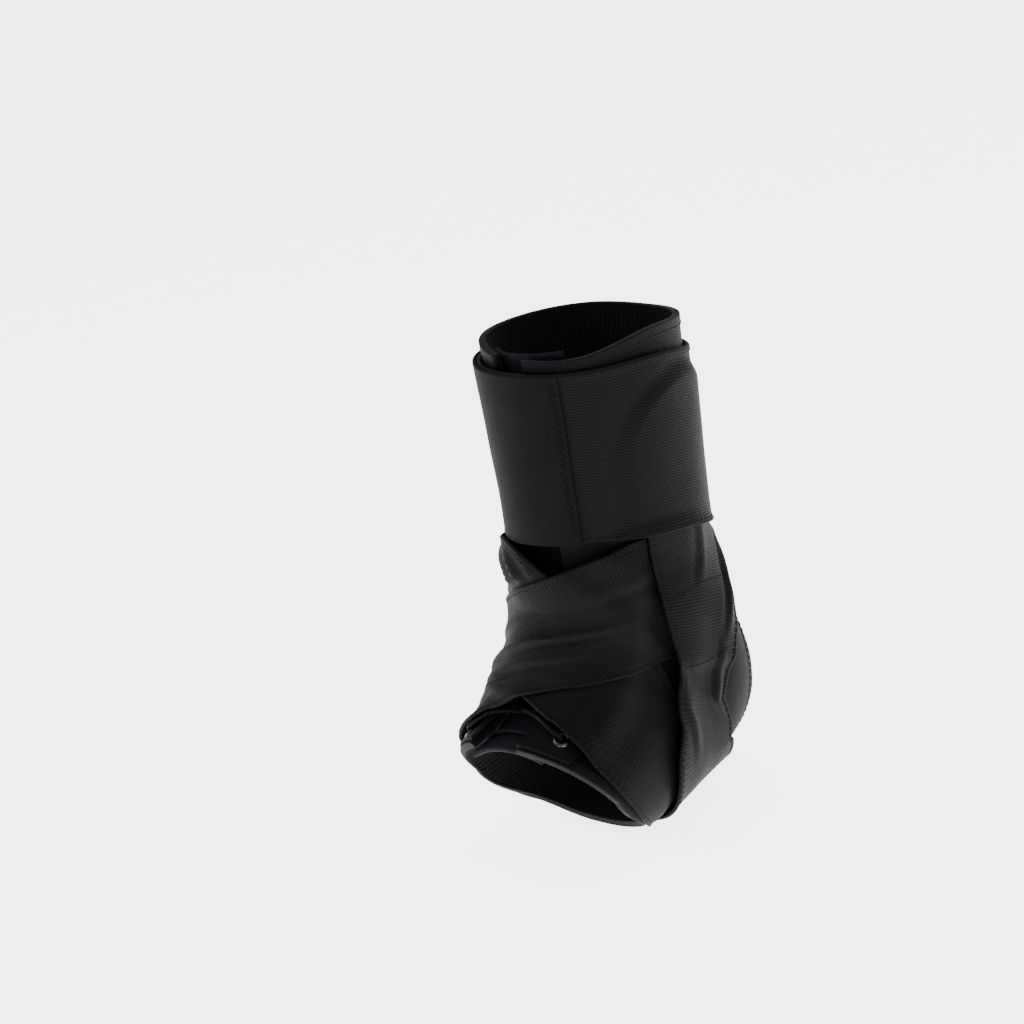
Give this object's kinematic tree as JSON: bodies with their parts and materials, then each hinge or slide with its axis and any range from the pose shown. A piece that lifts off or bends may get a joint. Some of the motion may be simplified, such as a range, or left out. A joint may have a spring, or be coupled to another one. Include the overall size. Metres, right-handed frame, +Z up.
{
  "type": "ankle brace",
  "caption": "Lace-up ankle brace for the left foot, as worn: open-toe, open-heel fabric boot with tongue and lacing, figure-of-eight straps and a wide elastic cuff.",
  "frame": {"origin": "the middle of the wearer's ankle joint, where the brace sits on the leg", "axes": "+Z up along the leg, -Y towards the toes, +X towards the outer side of a left foot"},
  "size_m": [0.0932, 0.1226, 0.2041],
  "materials": {
    "boot_fabric": "matt black nylon cloth over a thin pad, with sewn hems",
    "lining_fabric": "soft blue-black padded knit",
    "strap_webbing": "black woven strap with fine ribs across it and a slight sheen",
    "cuff_elastic": "black ribbed elastic band, matt",
    "cuff_patch": "smooth black loop fabric, matt",
    "lace_cord": "black braided cord",
    "eyelet_metal": "black-coated metal, bright where it is worn"
  },
  "bodies": {
    "root": {"boot_shell": "boot_fabric", "tongue": "lining_fabric", "facing_outer": "boot_fabric", "facing_inner": "boot_fabric", "eyelet_outer_1": "eyelet_metal", "eyelet_outer_2": "eyelet_metal", "eyelet_outer_3": "eyelet_metal", "eyelet_outer_4": "eyelet_metal", "eyelet_inner_1": "eyelet_metal", "eyelet_inner_2": "eyelet_metal", "eyelet_inner_3": "eyelet_metal", "eyelet_inner_4": "eyelet_metal", "lace": "lace_cord", "strap_inner": "strap_webbing", "strap_outer": "strap_webbing", "cuff_band": "cuff_elastic", "cuff_tab": "cuff_patch"}
  },
  "joints": []
}
